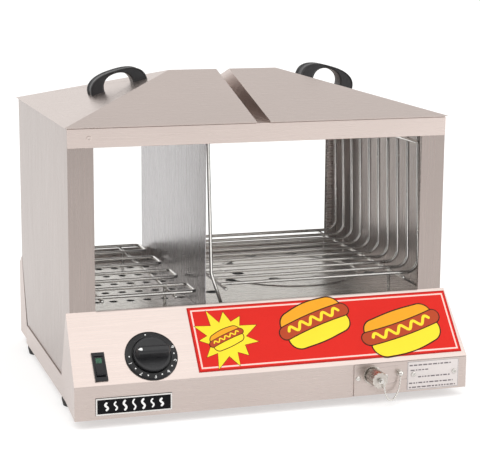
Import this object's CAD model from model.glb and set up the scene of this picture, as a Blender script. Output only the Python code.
"""Looks of a top-loading countertop steamer for hot dogs and buns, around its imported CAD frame."""
import math
import random

import bmesh
import bpy
from mathutils import Matrix, Vector


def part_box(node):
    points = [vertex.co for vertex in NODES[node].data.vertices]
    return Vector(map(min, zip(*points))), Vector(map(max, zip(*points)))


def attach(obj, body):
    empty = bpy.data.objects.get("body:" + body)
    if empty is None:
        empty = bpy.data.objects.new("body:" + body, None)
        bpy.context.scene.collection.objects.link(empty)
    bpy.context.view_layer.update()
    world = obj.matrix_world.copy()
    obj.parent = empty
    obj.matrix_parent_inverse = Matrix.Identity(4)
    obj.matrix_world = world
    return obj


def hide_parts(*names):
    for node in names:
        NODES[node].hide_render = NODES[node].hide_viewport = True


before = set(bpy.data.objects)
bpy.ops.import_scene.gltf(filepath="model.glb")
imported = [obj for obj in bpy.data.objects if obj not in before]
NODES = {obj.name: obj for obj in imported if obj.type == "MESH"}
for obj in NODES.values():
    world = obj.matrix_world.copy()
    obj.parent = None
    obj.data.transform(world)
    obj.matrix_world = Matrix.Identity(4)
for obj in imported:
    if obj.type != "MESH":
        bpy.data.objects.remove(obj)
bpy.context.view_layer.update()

MM = 0.001
MID_Y = 129.0  # the design's y that the row frame has at 0
FOOT = 10.0  # height of the feet
CONSOLE_D, STRIP_H, SILL_Z = 60.0, 38.0, 105.0
SLOPE_A = math.atan2(SILL_Z - STRIP_H, CONSOLE_D)
RIDGE_Z, RIDGE_X, LID_Z, LID_OUT = 355.0, 67.0, 309.5, 225.3
HIP_A = math.atan2(RIDGE_Z - LID_Z, LID_OUT - RIDGE_X)
CAB_D = 316.0
MID_D = CAB_D / 2
DIAL_X, DIAL_S = -140.0, 30.5


# ------------------------------------------------------------------ frames

def at(x, y, z):
    """A design point in millimetres as a point of the row frame in metres."""
    return Vector((x, y - MID_Y, z + FOOT)) * MM


def axes(origin, ex, ey, ez):
    """The matrix that takes local millimetres to the row frame."""
    m = Matrix((ex, ey, ez)).transposed().to_4x4() @ Matrix.Diagonal((MM, MM, MM, 1))
    m.translation = origin
    return m


def upright():
    return axes(at(0, 0, 0), (1, 0, 0), (0, 1, 0), (0, 0, 1))


def slope(x=0.0, s=0.0, n=0.0):
    """On the sloping panel: x to the right, y up the slope, z outwards."""
    c, k = math.cos(SLOPE_A), math.sin(SLOPE_A)
    origin = at(x, -CONSOLE_D + s * c - n * k, STRIP_H + s * k + n * c)
    return axes(origin, (1, 0, 0), (0, c, k), (0, -k, c))


def strip(x=0.0, z=0.0, n=0.0):
    """On the console's upright front strip: x to the right, y up, z outwards."""
    return axes(at(x, -CONSOLE_D - n, z), (1, 0, 0), (0, 0, 1), (0, -1, 0))


def hip(side):
    """On the outer slope of a lid: x down the slope, z outwards. side is 1 right, -1 left."""
    c, k = math.cos(HIP_A), math.sin(HIP_A)
    x = 130.0
    origin = at(side * x, MID_D, RIDGE_Z - (x - RIDGE_X) * math.tan(HIP_A))
    return axes(origin, (side * c, 0, -k), (0, 1, 0), (side * k, 0, c))


# ------------------------------------------------------------------ materials

def nodes_of(name):
    m = bpy.data.materials.new(name)
    m.use_nodes = True
    m.node_tree.nodes.clear()
    return m, m.node_tree


def link(tree, a, b):
    tree.links.new(a, b)


def noise(tree, scale, detail=3.0, stretch=(1, 1, 1), rough=0.55, source=None):
    """A noise value over the object's own coordinates, stretched along an axis."""
    if source is None:
        source = tree.nodes.new("ShaderNodeTexCoord").outputs["Object"]
    mapping = tree.nodes.new("ShaderNodeMapping")
    mapping.inputs["Scale"].default_value = stretch
    link(tree, source, mapping.inputs["Vector"])
    n = tree.nodes.new("ShaderNodeTexNoise")
    n.inputs["Scale"].default_value = scale
    n.inputs["Detail"].default_value = detail
    n.inputs["Roughness"].default_value = rough
    link(tree, mapping.outputs["Vector"], n.inputs["Vector"])
    return n.outputs["Fac"]


def remap(tree, value, low, high, a=0.3, b=0.7):
    r = tree.nodes.new("ShaderNodeMapRange")
    r.inputs["From Min"].default_value = a
    r.inputs["From Max"].default_value = b
    r.inputs["To Min"].default_value = low
    r.inputs["To Max"].default_value = high
    link(tree, value, r.inputs["Value"])
    return r.outputs["Result"]


def blend_colour(tree, fac, a, b):
    m = tree.nodes.new("ShaderNodeMix")
    m.data_type = "RGBA"
    link(tree, fac, m.inputs["Factor"])
    for socket, c in ((m.inputs["A"], a), (m.inputs["B"], b)):
        if isinstance(c, tuple):
            socket.default_value = (*c, 1)
        else:
            link(tree, c, socket)
    return m.outputs["Result"]


def times(c, k):
    return tuple(v * k for v in c)


def surface(name, colour, rough, metal=0.0, grain=None, scale=60.0, stretch=(1, 1, 1), bump=0.0,
            spread=0.06, tint=0.08, blotch=9.0, detail=3.0, **sockets):
    """One Principled material: colour varies by large soft blotches, roughness and bump by a finer grain."""
    m, tree = nodes_of(name)
    out = tree.nodes.new("ShaderNodeOutputMaterial")
    bsdf = tree.nodes.new("ShaderNodeBsdfPrincipled")
    link(tree, bsdf.outputs["BSDF"], out.inputs["Surface"])
    coarse = noise(tree, blotch, 2.0)
    fine = noise(tree, scale, detail, stretch)
    dark, light = times(colour, 1 - tint), times(colour, 1 + tint)
    base = blend_colour(tree, remap(tree, coarse, 0, 1), dark, light)
    base = blend_colour(tree, remap(tree, fine, 0, grain or 0.0, 0.35, 0.75), base, times(colour, 1 - 2.2 * tint))
    link(tree, base, bsdf.inputs["Base Color"])
    link(tree, remap(tree, fine, rough - spread, rough + spread), bsdf.inputs["Roughness"])
    bsdf.inputs["Metallic"].default_value = metal
    if bump:
        b = tree.nodes.new("ShaderNodeBump")
        b.inputs["Strength"].default_value = bump
        b.inputs["Distance"].default_value = 0.0004
        link(tree, fine, b.inputs["Height"])
        link(tree, b.outputs["Normal"], bsdf.inputs["Normal"])
    for key, value in sockets.items():
        bsdf.inputs[key.replace("_", " ")].default_value = value
    return m


STEEL = (0.60, 0.515, 0.48)
ALONG_X, ALONG_Y, ALONG_Z = (0.012, 1, 1), (1, 0.012, 1), (1, 1, 0.012)


def brushed(name, stretch, colour=STEEL, rough=0.30, bump=0.045, grain=0.5):
    return surface(name, colour, rough, 1.0, grain, 1100.0, stretch, bump, 0.05, 0.028, 5.0, 2.0)


steel_lid = brushed("brushed_steel_lid", ALONG_X, times(STEEL, 1.04))
steel_rail = brushed("brushed_steel_rail", ALONG_X, times(STEEL, 1.14))
steel_y = brushed("brushed_steel_y", ALONG_Y)
steel_z = brushed("brushed_steel_z", ALONG_Z, times(STEEL, 0.655))
steel_rear = brushed("brushed_steel_rear", ALONG_X, times(STEEL, 0.95), 0.36)
satin = brushed("satin_steel_x", ALONG_X, times(STEEL, 0.95), 0.27, 0.03)
satin_y = brushed("satin_steel_y", ALONG_Y, times(STEEL, 0.95), 0.25, 0.03)
satin_z = brushed("satin_steel_z", ALONG_Z, (0.41, 0.385, 0.395), 0.28, 0.0, 0.25)
tray_steel = brushed("tray_steel", ALONG_X, (0.88, 0.84, 0.80), 0.26, 0.0, 0.25)
steel_base = brushed("brushed_steel_base", ALONG_X, times(STEEL, 0.92))
pan_steel = surface("deep_drawn_steel", (0.5, 0.47, 0.44), 0.3, 1.0, 0.4, 220.0, (1, 1, 1), 0.05, 0.08, 0.08, 14.0)
chrome = surface("chromed_wire", (0.90, 0.87, 0.84), 0.24, 1.0, 0.3, 300.0, (1, 1, 1), 0.03, 0.04, 0.05, 40.0)
zinc = surface("bright_fastener", (0.66, 0.64, 0.61), 0.22, 1.0, 0.4, 500.0, (1, 1, 1), 0.08, 0.06, 0.07, 60.0)
drain_metal = surface("cast_drain_metal", (0.56, 0.52, 0.48), 0.27, 1.0, 0.6, 420.0, (1, 1, 1), 0.25, 0.08, 0.09,
                      50.0)
sheath = surface("heater_sheath", (0.16, 0.13, 0.12), 0.5, 1.0, 0.8, 260.0, (1, 1, 1), 0.2, 0.1, 0.2, 25.0)
thermo_metal = surface("thermostat_metal", (0.45, 0.43, 0.4), 0.34, 1.0, 0.5, 300.0, (1, 1, 1), 0.1, 0.08, 0.08, 40.0)
copper = surface("copper_tube", (0.62, 0.32, 0.2), 0.28, 1.0, 0.5, 200.0, (1, 1, 1), 0.05, 0.08, 0.15, 30.0)
black_abs = surface("grained_black_plastic", (0.020, 0.020, 0.022), 0.36, 0.0, 0.6, 900.0, (1, 1, 1), 0.35, 0.1, 0.2,
                    60.0, Specular_IOR_Level=0.5)
gloss_abs = surface("glossy_black_plastic", (0.006, 0.006, 0.008), 0.24, 0.0, 0.4, 700.0, (1, 1, 1), 0.06, 0.06, 0.2,
                    60.0, Specular_IOR_Level=0.3)
knob_abs = surface("knob_plastic", (0.022, 0.022, 0.024), 0.36, 0.0, 0.5, 800.0, (1, 1, 1), 0.2, 0.08, 0.15, 60.0,
                   Specular_IOR_Level=0.35)
ring_abs = surface("dial_plastic", (0.008, 0.008, 0.009), 0.3, 0.0, 0.5, 800.0, (1, 1, 1), 0.12, 0.08, 0.2, 60.0,
                   Specular_IOR_Level=0.3)
lens = surface("green_lens", (0.012, 0.16, 0.07), 0.16, 0.0, 0.5, 350.0, (1, 1, 1), 0.15, 0.05, 0.35, 120.0,
               Transmission_Weight=0.35, IOR=1.49)
ceramic = surface("ceramic_block", (0.7, 0.66, 0.57), 0.42, 0.0, 0.5, 250.0, (1, 1, 1), 0.15, 0.1, 0.06, 30.0)
insulation = surface("lead_insulation", (0.03, 0.03, 0.034), 0.55, 0.0, 0.5, 400.0, (1, 1, 1), 0.2, 0.1, 0.2, 30.0)
rubber = surface("foot_rubber", (0.022, 0.021, 0.02), 0.7, 0.0, 0.6, 500.0, (1, 1, 1), 0.4, 0.1, 0.25, 60.0)


def print_ink(name, colour, rough=0.42, tint=0.025):
    """Screen-printed ink or film: a faint mottle, with an orange-peel gloss."""
    return surface(name, colour, rough, 0.0, 0.4, 380.0, (1, 1, 1), 0.04, 0.05, tint, 22.0,
                   Specular_IOR_Level=0.12)


red_film = print_ink("red_film", (0.66, 0.019, 0.012))
dark_red = print_ink("dark_red_ink", (0.36, 0.012, 0.010))
pale_ink = print_ink("pale_ink", (0.90, 0.60, 0.54))
yellow_ink = print_ink("yellow_ink", (0.93, 0.70, 0.035))
amber_ink = print_ink("amber_ink", (0.82, 0.36, 0.02))
brown_ink = print_ink("brown_ink", (0.045, 0.016, 0.008))
sausage_ink = print_ink("sausage_ink", (0.44, 0.06, 0.02))
black_film = print_ink("black_film", (0.003, 0.003, 0.004), 0.35)
white_ink = print_ink("white_ink", (0.86, 0.86, 0.85), 0.4)
label_film = print_ink("label_film", (0.69, 0.64, 0.625), 0.38, 0.04)
grey_ink = print_ink("grey_ink", (0.17, 0.15, 0.16), 0.45)
silver_foil = surface("silver_foil", (0.72, 0.70, 0.68), 0.26, 1.0, 0.5, 500.0, (1, 1, 1), 0.06, 0.06, 0.06, 40.0)


def clear_glass():
    """Thin clear glass: what is behind shows, with a mirror image that grows at grazing angles."""
    m, tree = nodes_of("clear_glass")
    out = tree.nodes.new("ShaderNodeOutputMaterial")
    through = tree.nodes.new("ShaderNodeBsdfTransparent")
    through.inputs["Color"].default_value = (0.993, 0.996, 0.994, 1)
    mirror = tree.nodes.new("ShaderNodeBsdfGlossy")
    link(tree, remap(tree, noise(tree, 30.0, 2.0), 0.005, 0.03), mirror.inputs["Roughness"])
    fresnel = tree.nodes.new("ShaderNodeFresnel")
    fresnel.inputs["IOR"].default_value = 1.26
    mix = tree.nodes.new("ShaderNodeMixShader")
    link(tree, fresnel.outputs["Fac"], mix.inputs["Fac"])
    link(tree, through.outputs["BSDF"], mix.inputs[1])
    link(tree, mirror.outputs["BSDF"], mix.inputs[2])
    link(tree, mix.outputs["Shader"], out.inputs["Surface"])
    return m


glass = clear_glass()


# ------------------------------------------------------------------ mesh helpers

def put(name, bm, matrix, material, body, replaces=(), sharp=30.0):
    """A finished piece from a bmesh in local millimetres."""
    bmesh.ops.remove_doubles(bm, verts=bm.verts, dist=1e-5)
    bmesh.ops.recalc_face_normals(bm, faces=bm.faces)
    for f in bm.faces:
        f.smooth = True
    for e in bm.edges:
        e.smooth = len(e.link_faces) == 2 and e.calc_face_angle(0.0) < math.radians(sharp)
    bm.transform(matrix)
    if matrix.to_3x3().determinant() < 0:
        bmesh.ops.reverse_faces(bm, faces=bm.faces)
    mesh = bpy.data.meshes.new(name)
    bm.to_mesh(mesh)
    bm.free()
    mesh.materials.append(material)
    o = bpy.data.objects.new(name, mesh)
    bpy.context.scene.collection.objects.link(o)
    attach(o, body)
    if replaces:
        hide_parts(*replaces)
    return o


def loft(bm, rings, closed=True, caps=True):
    """Joins rings of equal length into a skin. closed joins each ring's ends."""
    made = [[bm.verts.new(p) for p in ring] for ring in rings]
    n = len(made[0])
    for a, b in zip(made, made[1:]):
        for i in range(n if closed else n - 1):
            j = (i + 1) % n
            bm.faces.new((a[i], a[j], b[j], b[i]))
    if caps:
        bm.faces.new(list(reversed(made[0])))
        bm.faces.new(made[-1])
    return made


def lathe(bm, profile, steps=64, wave=None):
    """Turns (radius, z) points about z. wave(angle, k) scales the radius of profile point k."""
    rings = []
    for k, (r, z) in enumerate(profile):
        ring = []
        for i in range(steps):
            a = 2 * math.pi * i / steps
            rr = r * (wave(a, k) if wave else 1)
            ring.append((rr * math.cos(a), rr * math.sin(a), z))
        rings.append(ring)
    loft(bm, rings, True, True)


def filleted(points, radius, steps=7):
    """The points of a polyline with its corners rounded."""
    pts = [Vector(p) for p in points]
    path = [pts[0]]
    for a, b, c in zip(pts, pts[1:], pts[2:]):
        u, v = (a - b).normalized(), (c - b).normalized()
        half = u.angle(v) / 2
        cut = min(radius / math.tan(half), (a - b).length * 0.49, (c - b).length * 0.49)
        r = cut * math.tan(half)
        centre = b + (u + v).normalized() * (r / math.sin(half))
        p, q = b + u * cut - centre, b + v * cut - centre
        turn = p.angle(q)
        for i in range(steps + 1):
            t = i / steps
            path.append(centre + (math.sin((1 - t) * turn) * p + math.sin(t * turn) * q) / math.sin(turn))
    path.append(pts[-1])
    return path


def tube(bm, path, radius, steps=14, rounded=True):
    """Sweeps a circle along a path without twist, with domed ends."""
    path = [Vector(p) for p in path]
    n = len(path)
    tangents = [(path[min(i + 1, n - 1)] - path[max(i - 1, 0)]).normalized() for i in range(n)]
    side = tangents[0].orthogonal().normalized()
    stations = []
    for i, (p, t) in enumerate(zip(path, tangents)):
        side = (side - t * side.dot(t)).normalized()
        stations.append((p, t, side, 1.0))
    if rounded:
        p, t, s, _ = stations[0]
        q, w, v, _ = stations[-1]
        dome = ((0.94, 0.34), (0.64, 0.77), (0.25, 0.97))
        head = [(p - t * radius * b * 0.5, t, s, a) for a, b in reversed(dome)]
        tail = [(q + w * radius * b * 0.5, w, v, a) for a, b in dome]
        stations = head + stations + tail
    rings = []
    for p, t, s, k in stations:
        up = t.cross(s)
        rings.append([p + (s * math.cos(a) + up * math.sin(a)) * radius * k
                      for a in (2 * math.pi * i / steps for i in range(steps))])
    loft(bm, rings)


def sphere(bm, centre, radius, u=16, v=10):
    bmesh.ops.create_uvsphere(bm, u_segments=u, v_segments=v, radius=radius,
                              matrix=Matrix.Translation(Vector(centre)))


def turned(points, angle, centre=(0.0, 0.0)):
    c, s = math.cos(angle), math.sin(angle)
    return [(centre[0] + x * c - y * s, centre[1] + x * s + y * c) for x, y in points]


def capsule(length, width, steps=12, bulge=0.0):
    """Outline of a stadium along x. bulge swells its middle."""
    r, half = width / 2, length / 2 - width / 2
    right = [(half + r * math.cos(a), r * math.sin(a))
             for a in (math.pi * (i / steps - 0.5) for i in range(steps + 1))]
    left = [(-x, -y) for x, y in right]
    middle = [(half * (1 - 2 * i / 10), r + bulge * math.sin(math.pi * i / 10)) for i in range(1, 10)]
    return right + middle + left + [(-x, -y) for x, y in middle]


def stroke(points, width):
    """Outline of a smooth open line drawn with a round pen."""
    left, right = [], []
    n = len(points)
    for i, (x, y) in enumerate(points):
        x0, y0 = points[max(i - 1, 0)]
        x1, y1 = points[min(i + 1, n - 1)]
        d = math.hypot(x1 - x0, y1 - y0)
        nx, ny = -(y1 - y0) / d * width / 2, (x1 - x0) / d * width / 2
        left.append((x + nx, y + ny))
        right.append((x - nx, y - ny))

    def cap(centre, start):
        a0 = math.atan2(start[1] - centre[1], start[0] - centre[0])
        return [(centre[0] + width / 2 * math.cos(a0 - math.pi * k / 6),
                 centre[1] + width / 2 * math.sin(a0 - math.pi * k / 6)) for k in range(1, 6)]

    return left + cap(points[-1], left[-1]) + right[::-1] + cap(points[0], right[0])


def flat(bm, outline, z0, z1):
    """A thin flat shape of any outline."""
    bottom = [bm.verts.new((x, y, z0)) for x, y in outline]
    top = [bm.verts.new((x, y, z1)) for x, y in outline]
    n = len(outline)
    for i in range(n):
        j = (i + 1) % n
        bm.faces.new((bottom[i], bottom[j], top[j], top[i]))
    faces = [bm.faces.new(top), bm.faces.new(bottom[::-1])]
    bmesh.ops.triangulate(bm, faces=faces)


def border(bm, x0, y0, x1, y1, width, z0, z1):
    """A flat rectangular line."""
    outer = [(x0, y0), (x1, y0), (x1, y1), (x0, y1)]
    w = width
    inner = [(x0 + w, y0 + w), (x1 - w, y0 + w), (x1 - w, y1 - w), (x0 + w, y1 - w)]
    rings = [[(x, y, z0) for x, y in outer], [(x, y, z1) for x, y in outer],
             [(x, y, z1) for x, y in inner], [(x, y, z0) for x, y in inner]]
    made = loft(bm, rings, True, False)
    for i in range(4):
        j = (i + 1) % 4
        bm.faces.new((made[3][i], made[3][j], made[0][j], made[0][i]))


def shapes(name, matrix, material, body, draw, sharp=30.0, replaces=()):
    bm = bmesh.new()
    draw(bm)
    return put(name, bm, matrix, material, body, replaces, sharp)


# ------------------------------------------------------------------ CAD nodes that stay

def dress(node, material, width=0.42, segments=2):
    """Gives a CAD node its material, with smooth faces and small rounded edges."""
    o = NODES[node]
    mesh = o.data
    for key in ("custom_normal", "sharp_face", "sharp_edge"):
        if key in mesh.attributes:
            mesh.attributes.remove(mesh.attributes[key])
    mesh.polygons.foreach_set("use_smooth", [True] * len(mesh.polygons))
    mesh.materials.clear()
    mesh.materials.append(material)
    weld = o.modifiers.new("Weld", "WELD")
    weld.merge_threshold = 2e-6
    if width:
        b = o.modifiers.new("Edges", "BEVEL")
        b.width = width * MM
        b.segments = segments
        b.limit_method = "ANGLE"
        b.angle_limit = math.radians(20)
        b.harden_normals = True
        b.use_clamp_overlap = True


for node, material, width in (
        ("base_housing", steel_base, 0.45), ("left_side_panel", steel_z, 0.45), ("right_side_panel", steel_z, 0.45),
        ("front_top_rail", steel_rail, 0.4), ("rear_top_rail", steel_rail, 0.4), ("centre_bar", steel_y, 0.3),
        ("rear_panel", steel_rear, 0.4), ("rear_cover", steel_rear, 0.4), ("drain_panel", steel_base, 0.35),
        ("left_lid", steel_lid, 0.45), ("right_lid", steel_lid, 0.45), ("left_lid_rim", satin_y, 0.3),
        ("right_lid_rim", satin_y, 0.3), ("base_pan", satin, 0.3), ("front_glass_channel", satin, 0.15),
        ("rear_glass_channel", satin, 0.15), ("pan_rails", satin_y, 0.3), ("water_pan", pan_steel, 0.4),
        ("bun_tray", tray_steel, 0.25), ("dog_tray", tray_steel, 0.25), ("divider", satin_z, 0.3),
        ("heater_clamps", satin, 0.3), ("drain_pipe", pan_steel, 0.3), ("front_glass", glass, 0.3),
        ("rear_glass", glass, 0.3), ("rear_cover_screws", zinc, 0.4), ("foot_screws", zinc, 0.4),
        ("foot_nuts", zinc, 0.3), ("left_handle_screws", zinc, 0.4), ("right_handle_screws", zinc, 0.4),
        ("chain_stud", zinc, 0.3), ("cap_swivel", zinc, 0.2), ("drain_fitting", drain_metal, 0.4),
        ("drain_locknut", drain_metal, 0.3), ("drain_cap", drain_metal, 0.35),
        ("heating_element", sheath, 0.0), ("thermostat_body", thermo_metal, 0.5),
        ("thermostat_shaft", thermo_metal, 0.3), ("thermostat_bulb", copper, 0.0),
        ("switch_housing", gloss_abs, 0.45), ("power_rocker", gloss_abs, 0.5), ("power_lens", lens, 0.3),
        ("cord_gland", black_abs, 0.6), ("terminal_block", ceramic, 0.5), ("wiring_harness", insulation, 0.0),
        ("feet", rubber, 0.6), ("cap_washer", rubber, 0.3), ("banner", red_film, 0.2),
        ("name_plate", black_film, 0.25), ("info_plate", label_film, 0.15)):
    dress(node, material, width)


# ------------------------------------------------------------------ handles

HANDLE_L, HANDLE_H, HANDLE_W = 70.0, 20.0, 23.0


def power(v, n):
    return math.copysign(abs(v) ** (2 / n), v)


def handle(side):
    """An arched grip whose legs spread at the feet, with a groove along its back."""
    bm = bmesh.new()
    rings, steps = [], 56
    for i in range(steps + 1):
        t = math.pi * i / steps
        c, s = math.cos(t), math.sin(t)
        outer = Vector((HANDLE_L / 2 * power(c, 2.5), 0, HANDLE_H * power(s, 2.5)))
        inner = Vector(((HANDLE_L / 2 - 17) * power(c, 2.3), 0, (HANDLE_H - 3.8) * power(s, 2.3)))
        e = outer - inner
        thick = e.length
        e.normalize()
        w = HANDLE_W / 2 - 1.3 * s ** 0.8
        groove = min(1.5, 0.22 * thick)
        rim = 3.2
        half = [(0.0, 0.0), (w - 2.6, 0.0), (w - 1.3, 0.25), (w - 0.5, 0.9), (w - 0.15, 2.0),
                (w - 0.75, 2.6), (w - 0.85, thick - 2.2), (w - 0.1, thick - 1.7), (w, thick - 1.0),
                (w - 0.35, thick - 0.35), (w - 1.1, thick), (w - rim + 0.7, thick), (w - rim, thick - 0.3),
                (w - rim - 0.9, thick - groove), (w - rim - 2.6, thick - groove * 1.15), (0.0, thick - groove * 1.2)]
        section = half + [(-y, v) for y, v in reversed(half[1:-1])]
        rings.append([inner + e * v + Vector((0, y, 0)) for y, v in section])
    loft(bm, rings)
    name = "right" if side > 0 else "left"
    o = put(name + "_grip", bm, hip(side), black_abs, name + "_lid", [name + "_handle"], 34.0)
    return o


handle(-1)
handle(1)

# ------------------------------------------------------------------ thermostat dial

KNOB_R, RING_R = 20.75, 29.5


def dial_ring(bm):
    profile = [(5.5, 0.02), (RING_R - 0.3, 0.02), (RING_R, 0.35), (RING_R, 0.95), (RING_R - 0.25, 1.4),
               (RING_R - 1.2, 2.1), (RING_R - 2.0, 2.3), (KNOB_R + 2.9, 2.75), (KNOB_R + 1.9, 2.95),
               (KNOB_R + 1.35, 2.8), (KNOB_R + 1.0, 2.3), (KNOB_R + 0.9, 1.0), (5.5, 1.0)]
    made = loft(bm, [[(r * math.cos(a), r * math.sin(a), z)
                      for a in (2 * math.pi * i / 120 for i in range(120))] for r, z in profile], True, False)
    for i in range(120):
        j = (i + 1) % 120
        bm.faces.new((made[-1][i], made[-1][j], made[0][j], made[0][i]))


shapes("dial_ring", slope(DIAL_X, DIAL_S), ring_abs, "housing", dial_ring, 28, ["dial_plate"])


def ring_top(r):
    """Height of the dial ring's face at radius r."""
    a, b = (RING_R - 2.0, 2.3), (KNOB_R + 2.9, 2.75)
    return b[1] + (a[1] - b[1]) * (r - b[0]) / (a[0] - b[0])


MARK_R = 25.9


def glyph(text, height):
    """The filled outline of a numeral as a mesh, centred, in millimetres."""
    curve = bpy.data.curves.new("numeral", "FONT")
    curve.body, curve.size, curve.extrude = text, 1.0, 0.0
    curve.align_x, curve.align_y = "CENTER", "CENTER"
    o = bpy.data.objects.new("numeral", curve)
    bpy.context.scene.collection.objects.link(o)
    bpy.context.view_layer.update()
    mesh = bpy.data.meshes.new_from_object(o)
    bpy.data.objects.remove(o)
    bpy.data.curves.remove(curve)
    xs, ys = [v.co.x for v in mesh.vertices], [v.co.y for v in mesh.vertices]
    k = height / (max(ys) - min(ys))
    cx, cy = (max(xs) + min(xs)) / 2, (max(ys) + min(ys)) / 2
    points = [((v.co.x - cx) * k, (v.co.y - cy) * k) for v in mesh.vertices]
    faces = [tuple(p.vertices) for p in mesh.polygons]
    bpy.data.meshes.remove(mesh)
    return points, faces


def dial_marks(bm):
    spots = [(180 + 18 * k, None if k % 2 == 0 else str((k + 1) // 2)) for k in range(12)] + [(97, None)]
    for degrees, text in spots:
        a = math.radians(degrees)
        x, y, z = MARK_R * math.cos(a), MARK_R * math.sin(a), ring_top(MARK_R)
        if text is None:
            centre = (0.97 * x, 0.97 * y)
            dot = [(centre[0] + 0.85 * math.cos(b), centre[1] + 0.85 * math.sin(b))
                   for b in (2 * math.pi * i / 20 for i in range(20))]
            flat(bm, dot, z - 0.2, z + 0.16)
            continue
        points, faces = glyph(text, 4.3)
        placed = turned(points, a + math.pi / 2, (x, y))
        low = [bm.verts.new((px, py, z - 0.2)) for px, py in placed]
        top = [bm.verts.new((px, py, z + 0.16)) for px, py in placed]
        for f in faces:
            bm.faces.new([top[i] for i in f])
            bm.faces.new([low[i] for i in reversed(f)])
        rims = [e for e in bm.edges if len(e.link_faces) == 1]
        twins = {v: low[i] for i, v in enumerate(top)}
        for e in rims:
            if e.verts[0] in twins and e.verts[1] in twins:
                a0, b0 = e.verts
                bm.faces.new((a0, b0, twins[b0], twins[a0]))


shapes("dial_marks", slope(DIAL_X, DIAL_S), white_ink, "housing", dial_marks)


def knob_disc(bm):
    flutes = 72

    def knurl(a, k):
        return 1 - (0.010 * (0.5 + 0.5 * math.cos(flutes * a)) if 2 <= k <= 4 else 0)

    lathe(bm, [(3.03, 1.6), (KNOB_R - 0.2, 1.6), (KNOB_R, 1.9), (KNOB_R, 4.8), (KNOB_R - 0.1, 5.6),
               (KNOB_R - 0.6, 6.3), (KNOB_R - 1.5, 6.6), (KNOB_R - 3.4, 6.45), (KNOB_R - 5.0, 6.1), (3.03, 6.1)],
          288, knurl)


def knob_bar(bm):
    """The grip across the knob: rounded ends, sides that lean in, a softly crowned top."""
    rings = []
    profile = [(5.9, 4.0), (5.8, 7.0), (5.5, 10.0), (5.1, 13.0), (4.85, 15.6), (4.5, 17.0), (3.9, 17.9),
               (3.0, 18.5), (1.6, 18.8)]
    for w, z in profile:
        half = 19.9 - 0.10 * max(0.0, z - 4.0) - (0.8 * (5.1 - w) if z > 15 else 0)
        ring = []
        for k in range(9):
            a = math.pi * (k / 8 - 0.5)
            ring.append((half - w * 0.55 * (1 - math.cos(a)), w * math.sin(a), z))
        for k in range(9):
            a = math.pi * (k / 8 + 0.5)
            ring.append((-half + w * 0.55 * (1 + math.cos(a)), w * math.sin(a), z))
        rings.append(ring)
    loft(bm, rings)


def knob_pointer(bm):
    tip = [(-18.1, 0.0), (-15.4, 1.5), (-13.2, 1.5), (-13.2, -1.5), (-15.4, -1.5)]
    flat(bm, tip, 18.4, 18.95)


shapes("knob_disc", slope(DIAL_X, DIAL_S), knob_abs, "knob", knob_disc, 32, ["thermostat_knob"])
shapes("knob_grip", slope(DIAL_X, DIAL_S), knob_abs, "knob", knob_bar, 50)
shapes("knob_pointer", slope(DIAL_X, DIAL_S), white_ink, "knob", knob_pointer)

# ------------------------------------------------------------------ racks

WIRE = 2.0


RACK_Z, BUN_Z, TRAY_TOP = 120.0, 115.0, 93.8
DOG_WIRES, FIRST_WIRE = 10, 29.0
DOG_PITCH = (CAB_D - 14 - FIRST_WIRE) / (DOG_WIRES - 1)
BUN_WIRES, BUN_PITCH = 8, (CAB_D - 43) / 7
WELD = 3.5  # from one wire's axis to the next where two cross


def dog_rack(bm):
    low = RACK_Z - WELD
    for i in range(DOG_WIRES):
        y = FIRST_WIRE + DOG_PITCH * i
        tube(bm, filleted([(-40, y, RACK_Z), (205.4, y, RACK_Z), (201.02, y, 286.2)], 14, 10), WIRE)
    for x in (-37.4, 182):
        tube(bm, [(x, 17, low), (x, CAB_D - 10, low)], WIRE)
    tube(bm, [(198.1, 22, 276), (198.1, CAB_D - 9, 276)], WIRE)
    loop = []
    for y, order in ((FIRST_WIRE - 5, 1), (CAB_D - 9, -1)):
        leg = [(-39.9, y, TRAY_TOP + 0.4), (-53, y, 134), (-57.5, y, 290)]
        loop += leg[::order]
    tube(bm, filleted(loop, 7, 8), WIRE)
    for y in (62, CAB_D - 30):
        tube(bm, [(182, y, TRAY_TOP + 0.4), (182, y, low)], WIRE - 0.2)


def bun_rack(bm):
    low = BUN_Z - WELD
    for i in range(0, BUN_WIRES, 2):
        y0, y1 = 22 + BUN_PITCH * i, 22 + BUN_PITCH * (i + 1)
        tube(bm, filleted([(-194, y0, BUN_Z), (-72, y0, BUN_Z), (-72, y1, BUN_Z), (-194, y1, BUN_Z)], 7, 8), WIRE)
    for x in (-182, -97):
        tube(bm, [(x, 16, low), (x, CAB_D - 14, low)], WIRE)
        for y in (66, CAB_D - 33):
            tube(bm, [(x, y, TRAY_TOP + 0.4), (x, y, low)], WIRE - 0.2)


shapes("dog_rack_wires", upright(), chrome, "housing", dog_rack, 60,
       ["dog_rack", "dog_rack_side", "dog_rack_loop"])
shapes("bun_rack_wires", upright(), chrome, "housing", bun_rack, 60, ["bun_rack"])

# ------------------------------------------------------------------ screws, drain chain


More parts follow.
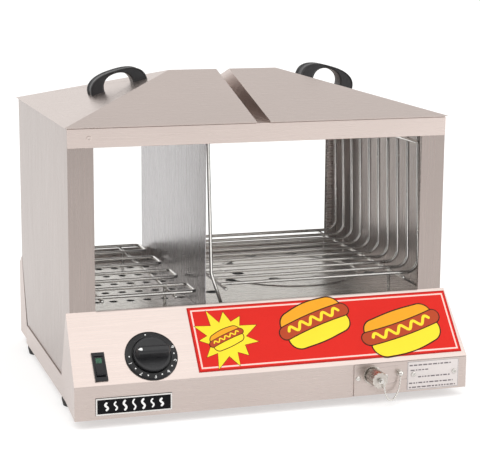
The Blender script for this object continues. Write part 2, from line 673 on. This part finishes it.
def cross_head(bm, radius, height, z0, recess=0.62):
    """A domed screw head with a cross recess, on its seat at z0."""
    steps = 40
    rings = []
    for r, z in ((radius, 0.0), (radius, 0.35 * height), (radius * 0.93, 0.68 * height), (radius * 0.72, height)):
        rings.append([(r * math.cos(a), r * math.sin(a), z0 + z)
                      for a in (2 * math.pi * i / steps for i in range(steps))])
    made = loft(bm, rings, True, False)
    bm.faces.new(list(reversed(made[0])))
    a, b, top = radius * 0.13, radius * 0.58, z0 + height
    plus = [(a, a), (b, a), (b, -a), (a, -a), (a, -b), (-a, -b), (-a, -a), (-b, -a), (-b, a), (-a, a), (-a, b), (a, b)]
    upper = [bm.verts.new((x, y, top)) for x, y in plus]
    lower = [bm.verts.new((x * 0.8, y * 0.8, top - recess)) for x, y in plus]
    for i in range(12):
        j = (i + 1) % 12
        bm.faces.new((upper[i], upper[j], lower[j], lower[i]))
    bm.faces.new(lower)
    loop = [bm.edges.get((upper[i], upper[(i + 1) % 12])) for i in range(12)]
    loop += [bm.edges.get((made[-1][i], made[-1][(i + 1) % steps])) for i in range(steps)]
    bmesh.ops.triangle_fill(bm, edges=loop, use_beauty=True)


def panel_screws(bm):
    for i, x in enumerate((96.0, 129.6, 163.6, 214.5)):
        part = bmesh.new()
        cross_head(part, 3.0, 1.4, 0.0 if i < 2 else 0.6)
        part.transform(Matrix.Translation((x, 21.0, 0)) @ Matrix.Rotation(0.5 + 0.9 * i, 4, "Z"))
        mesh = bpy.data.meshes.new("part")
        part.to_mesh(mesh)
        part.free()
        bm.from_mesh(mesh)
        bpy.data.meshes.remove(mesh)


def weld_spot(bm):
    """The dimple of the spot weld that fixes the front rail to the left post."""
    lathe(bm, [(0.4, 1.0), (3.0, 1.0), (2.9, 1.22), (2.3, 1.42), (1.7, 1.34), (0.4, 1.26)], 32)


WELD_INSET = 5.0  # from the inner edge of the left post
WELD_SINK = 1.0  # the lathe profile's first height, behind the rail's face
rail_low, rail_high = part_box("front_top_rail")
post_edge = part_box("left_side_panel")[1].x
weld_at = Vector((post_edge - WELD_INSET * MM, rail_low.y + WELD_SINK * MM, (rail_low.z + rail_high.z) / 2))
shapes("rail_weld_spot", axes(weld_at, (1, 0, 0), (0, 0, 1), (0, -1, 0)), steel_rail, "housing",
       weld_spot)
shapes("panel_screw_heads", strip(0, 0), zinc, "housing", panel_screws, 30, ["panel_screws"])


def chain_point(t):
    u = (1 - math.cos(math.pi * t)) / 2
    a, b = Vector((116.4, -87.6, 21.8)), Vector((145.6, -64.8, 19.8))
    return a + (b - a) * u - Vector((0, 0, 23 * math.sin(math.pi * t)))


def chain(bm):
    beads = 22
    for i in range(beads + 1):
        sphere(bm, chain_point(i / beads), 1.2)
    tube(bm, [chain_point(i / 66) for i in range(67)], 0.4, 8)


shapes("ball_chain", upright(), zinc, "housing", chain, 40, ["drain_chain"])

# ------------------------------------------------------------------ banner

FACE = 0.70  # the banner's face above the sloping panel


def burst(n, outer, inner, phase, uneven):
    points = []
    for i in range(2 * n):
        a = phase + math.pi * (i + 0.16 * math.sin(1.7 * i)) / n
        r = outer * (1 + uneven * math.sin(2.3 * i + 1.0)) if i % 2 == 0 else inner * (1 + 0.5 * uneven * math.sin(i))
        points.append((r * math.cos(a), r * math.sin(a)))
    return points


def fan(bm, outline, centre, z0, z1):
    """A thin flat star around a centre, lifted from z0 to z1."""
    n = len(outline)
    low = [bm.verts.new((x, y, z0)) for x, y in outline]
    top = [bm.verts.new((x, y, z1)) for x, y in outline]
    middle = bm.verts.new((*centre, z1)), bm.verts.new((*centre, z0))
    for i in range(n):
        j = (i + 1) % n
        bm.faces.new((low[i], low[j], top[j], top[i]))
        bm.faces.new((top[i], top[j], middle[0]))
        bm.faces.new((low[j], low[i], middle[1]))


def grown(points, k):
    """An outline moved outwards by about k."""
    n = len(points)
    area = sum(points[i][0] * points[(i + 1) % n][1] - points[(i + 1) % n][0] * points[i][1] for i in range(n))
    sign = 1 if area > 0 else -1
    out = []
    for i in range(n):
        (x0, y0), (x, y), (x1, y1) = points[i - 1], points[i], points[(i + 1) % n]
        a, b = Vector((x - x0, y - y0)), Vector((x1 - x, y1 - y))
        if a.length < 1e-6 or b.length < 1e-6:
            continue
        na, nb = Vector((a.y, -a.x)).normalized(), Vector((b.y, -b.x)).normalized()
        d = na + nb
        d = d / max(0.35, d.length ** 2 / 2) if d.length > 1e-6 else na
        out.append((x + sign * k * d.x, y + sign * k * d.y))
    return out


def wave_line(length, height, waves, steps=48):
    return [(length * (i / steps - 0.5), height * math.sin(2 * math.pi * waves * i / steps)) for i in range(steps + 1)]


def bent(points, curve):
    """Bends points lying along x into a shallow smile."""
    return [(x, y + curve * x * x) for x, y in points]


def hot_dog(centre, length, width, angle, curve, ink_edge):
    """Outlines of a hot dog drawing, as (shape, layer) pairs."""
    bun_back = bent([(x, y + width * 0.20) for x, y in capsule(length * 0.86, width * 0.62, 14, width * 0.05)], curve)
    bun_front = bent([(x, y - width * 0.20) for x, y in capsule(length * 0.86, width * 0.60, 14, width * 0.05)], curve)
    sausage = bent([(x, y + width * 0.06) for x, y in capsule(length, width * 0.34, 14)], curve)
    squiggle = stroke(wave_line(length * 0.74, width * 0.085, 4.5), width * 0.075)
    mustard = bent([(x, y + width * 0.07) for x, y in squiggle], curve)
    layers = [("edge", grown(bun_back, ink_edge)), ("edge", grown(bun_front, ink_edge)), ("bun_back", bun_back),
              ("bun", bun_front), ("edge2", grown(sausage, ink_edge * 0.8)), ("sausage", sausage), ("mustard", mustard)]
    return [(k, turned(p, angle, centre)) for k, p in layers]


DOGS = [((56, 57), 92, 46, math.radians(19), -0.0012, 1.6), ((160, 37), 104, 48, math.radians(15), 0.0010, 1.6)]
BURST_AT = (-51.0, 45.0)
SMALL_DOG = (BURST_AT, 44, 20, math.radians(22), -0.002, 1.0)
DOG_SHAPES = [hot_dog(*d) for d in DOGS] + [hot_dog(*SMALL_DOG)]
LAYER_TOP = {"edge": 0.10, "bun_back": 0.16, "bun": 0.19, "edge2": 0.25, "sausage": 0.31, "mustard": 0.37}


def dog_layer(*kinds):
    def draw(bm):
        for k, dog in enumerate(DOG_SHAPES):
            lift = 0.12 if k == 2 else 0.0
            for kind, outline in dog:
                if kind in kinds:
                    flat(bm, outline, FACE - 0.1, FACE + lift + LAYER_TOP[kind])
    return draw


def banner_piece(name, material, draw):
    shapes(name, slope(), material, "housing", draw)


banner_piece("banner_edge", dark_red, lambda bm: border(bm, -89.6, 6.4, 224.6, 85.6, 0.9, FACE - 0.1, FACE + 0.04))
banner_piece("banner_frame", pale_ink, lambda bm: border(bm, -86.6, 9.4, 221.6, 82.6, 1.9, FACE - 0.1, FACE + 0.06))
BURST = burst(11, 36.0, 21.5, 0.35, 0.13)
BURST_RIM = turned([(1.035 * x, 1.035 * y) for x, y in BURST], 0.0, BURST_AT)
banner_piece("burst_edge", brown_ink, lambda bm: fan(bm, BURST_RIM, BURST_AT, FACE - 0.1, FACE + 0.08))
banner_piece("burst", yellow_ink, lambda bm: fan(bm, turned(BURST, 0.0, BURST_AT), BURST_AT, FACE - 0.1, FACE + 0.15))
banner_piece("dog_outline", brown_ink, dog_layer("edge", "edge2"))
banner_piece("dog_bun_back", amber_ink, dog_layer("bun_back"))
banner_piece("dog_bun", yellow_ink, dog_layer("bun"))
banner_piece("dog_sausage", sausage_ink, dog_layer("sausage"))
banner_piece("dog_mustard", yellow_ink, dog_layer("mustard"))

# ------------------------------------------------------------------ plates on the front strip

PLATE = 0.9


def steam_waves(bm):
    for k in range(7):
        x = -164.5 + (k - 3) * 10.2
        tall = 11.0 - 1.1 * abs(k - 3)
        line = [(x + 1.5 * math.sin(2 * math.pi * i / 24), 14.3 + tall * (i / 24 - 0.5)) for i in range(25)]
        flat(bm, stroke(line, 1.7 if k % 2 else 2.3), PLATE - 0.1, PLATE + 0.14)


shapes("name_plate_frame", strip(), silver_foil, "housing",
       lambda bm: border(bm, -206.8, 4.8, -122.2, 23.8, 1.5, PLATE - 0.3, PLATE + 0.22))
shapes("name_plate_icon", strip(), white_ink, "housing", steam_waves)

INFO = 0.55


def info_marks(bm):
    """Rows of plain dashes, which say nothing, inside a thin border."""
    dashes = random.Random(5)
    for start, end, y, tall in ((158.5, 210.0, 31.4, 1.5), (160.0, 183.0, 25.6, 1.3), (169.5, 209.0, 17.4, 1.5),
                                (158.5, 213.0, 10.4, 1.5), (158.5, 216.0, 5.4, 1.5)):
        x = start
        while x < end:
            wide = min(dashes.uniform(1.6, 5.4), end - x)
            if wide > 0.6:
                flat(bm, [(x, y - tall / 2), (x + wide, y - tall / 2), (x + wide, y + tall / 2), (x, y + tall / 2)],
                     INFO - 0.1, INFO + 0.06)
            x += wide + 1.3
    border(bm, 156.5, 2.9, 219.5, 35.7, 0.35, INFO - 0.1, INFO + 0.05)


shapes("info_marks", strip(), grey_ink, "housing", info_marks)

# ------------------------------------------------------------------ stage, light and camera


def floor():
    bm = bmesh.new()
    for x, y in ((-6, -6), (6, -6), (6, 6), (-6, 6)):
        bm.verts.new((x, y, 0))
    bm.verts.ensure_lookup_table()
    bm.faces.new(bm.verts)
    mesh = bpy.data.meshes.new("floor")
    bm.to_mesh(mesh)
    bm.free()
    o = bpy.data.objects.new("floor", mesh)
    bpy.context.scene.collection.objects.link(o)
    m, tree = nodes_of("pale_floor")
    out = tree.nodes.new("ShaderNodeOutputMaterial")
    bsdf = tree.nodes.new("ShaderNodeBsdfPrincipled")
    bsdf.inputs["Base Color"].default_value = (0.62, 0.62, 0.62, 1)
    bsdf.inputs["Roughness"].default_value = 0.8
    bsdf.inputs["Specular IOR Level"].default_value = 0.0
    bsdf.inputs["Emission Color"].default_value = (1, 1, 1, 1)
    bsdf.inputs["Emission Strength"].default_value = 0.45
    link(tree, bsdf.outputs["BSDF"], out.inputs["Surface"])
    mesh.materials.append(m)


def softbox(name, place, target, size, watts, colour=(1, 1, 1)):
    data = bpy.data.lights.new(name, "AREA")
    data.shape, data.size, data.size_y = "RECTANGLE", size[0], size[1]
    data.energy, data.color = watts, colour
    o = bpy.data.objects.new(name, data)
    bpy.context.scene.collection.objects.link(o)
    o.location = place
    o.rotation_mode = "QUATERNION"
    o.rotation_quaternion = (Vector(target) - Vector(place)).to_track_quat("-Z", "Y")


def sky():
    """A white studio: a bright ceiling in front, white behind, dimmer straight in front."""
    world = bpy.data.worlds.new("studio")
    bpy.context.scene.world = world
    world.use_nodes = True
    tree = world.node_tree
    tree.nodes.clear()
    out = tree.nodes.new("ShaderNodeOutputWorld")
    back = tree.nodes.new("ShaderNodeBackground")
    link(tree, back.outputs["Background"], out.inputs["Surface"])
    coord = tree.nodes.new("ShaderNodeTexCoord").outputs["Generated"]

    def lobe(direction, inner, outer, low, high):
        dot = tree.nodes.new("ShaderNodeVectorMath")
        dot.operation = "DOT_PRODUCT"
        dot.inputs[1].default_value = Vector(direction).normalized()
        link(tree, coord, dot.inputs[0])
        return remap(tree, dot.outputs["Value"], low, high, outer, inner)

    def maths(kind, a, b):
        n = tree.nodes.new("ShaderNodeMath")
        n.operation = kind
        link(tree, a, n.inputs[0])
        link(tree, b, n.inputs[1])
        return n.outputs["Value"]

    front = lobe((0.0, -1.0, -0.05), 0.95, 0.45, 1.0, 0.38)
    high_back = lobe((0.25, 0.55, 0.80), 1.0, 0.72, 1.08, 0.80)
    ceiling = lobe((0.25, -0.42, 0.87), 0.97, 0.70, 0.0, 0.75)
    link(tree, maths("ADD", maths("MULTIPLY", front, high_back), ceiling), back.inputs["Strength"])
    back.inputs["Color"].default_value = (1.0, 0.992, 0.98, 1)


def camera():
    data = bpy.data.cameras.new("camera")
    data.sensor_width = 36.0
    data.lens = 114.83
    data.clip_start, data.clip_end = 0.05, 50
    o = bpy.data.objects.new("camera", data)
    bpy.context.scene.collection.objects.link(o)
    o.location = at(-533.3, -1612.1, 517.8)
    o.rotation_mode = "QUATERNION"
    turn = Matrix.Rotation(math.radians(-17.45), 3, "Z") @ Matrix.Rotation(math.radians(78.97), 3, "X")
    roll = Matrix.Rotation(math.radians(0.34), 3, "Z")
    o.rotation_quaternion = (turn @ roll).to_quaternion()
    bpy.context.scene.camera = o


random.seed(7)
floor()
sky()
softbox("key", (-1.2, -0.6, 1.9), (0, 0, 0.2), (1.3, 1.3), 7)
softbox("right", (1.9, -1.5, 0.6), (0, 0, 0.2), (1.2, 1.2), 9)
camera()
bpy.context.scene.view_settings.view_transform = "Standard"
